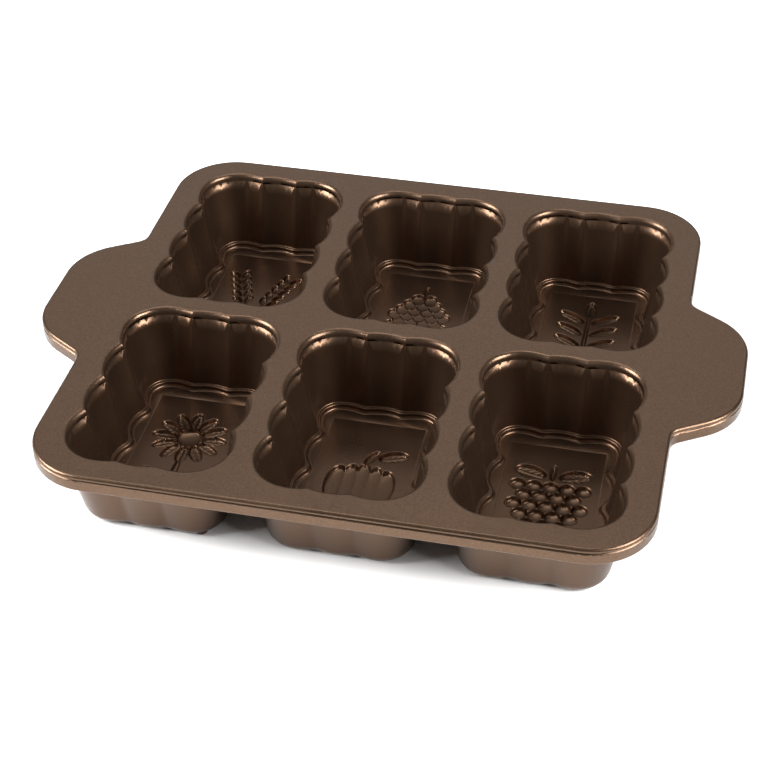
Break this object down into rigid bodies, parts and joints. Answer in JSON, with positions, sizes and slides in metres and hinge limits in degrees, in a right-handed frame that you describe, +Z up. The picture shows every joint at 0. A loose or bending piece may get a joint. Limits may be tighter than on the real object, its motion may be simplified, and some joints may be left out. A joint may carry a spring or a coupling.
{
  "type": "mini loaf pan",
  "caption": "Cast baking pan with scalloped mini loaf cups, figures sunk in their floors, a flat deck with a rounded rim, and a tab handle at each end.",
  "frame": {"origin": "under the middle of the pan, on the plane that the cups stand on", "axes": "+X to the right handle, +Y to the back, +Z up out of the cups' mouths"},
  "size_m": [0.388, 0.308, 0.0505],
  "materials": {
    "bronze_coating": "satin dark bronze non-stick coating"
  },
  "bodies": {
    "root": {"deck": "bronze_coating", "rim": "bronze_coating", "left_handle": "bronze_coating", "right_handle": "bronze_coating", "cup_front_left": "bronze_coating", "cup_front_middle": "bronze_coating", "cup_front_right": "bronze_coating", "cup_back_left": "bronze_coating", "cup_back_middle": "bronze_coating", "cup_back_right": "bronze_coating", "floor_front_left": "bronze_coating", "floor_front_middle": "bronze_coating", "floor_front_right": "bronze_coating", "floor_back_left": "bronze_coating", "floor_back_middle": "bronze_coating", "floor_back_right": "bronze_coating"}
  },
  "joints": []
}
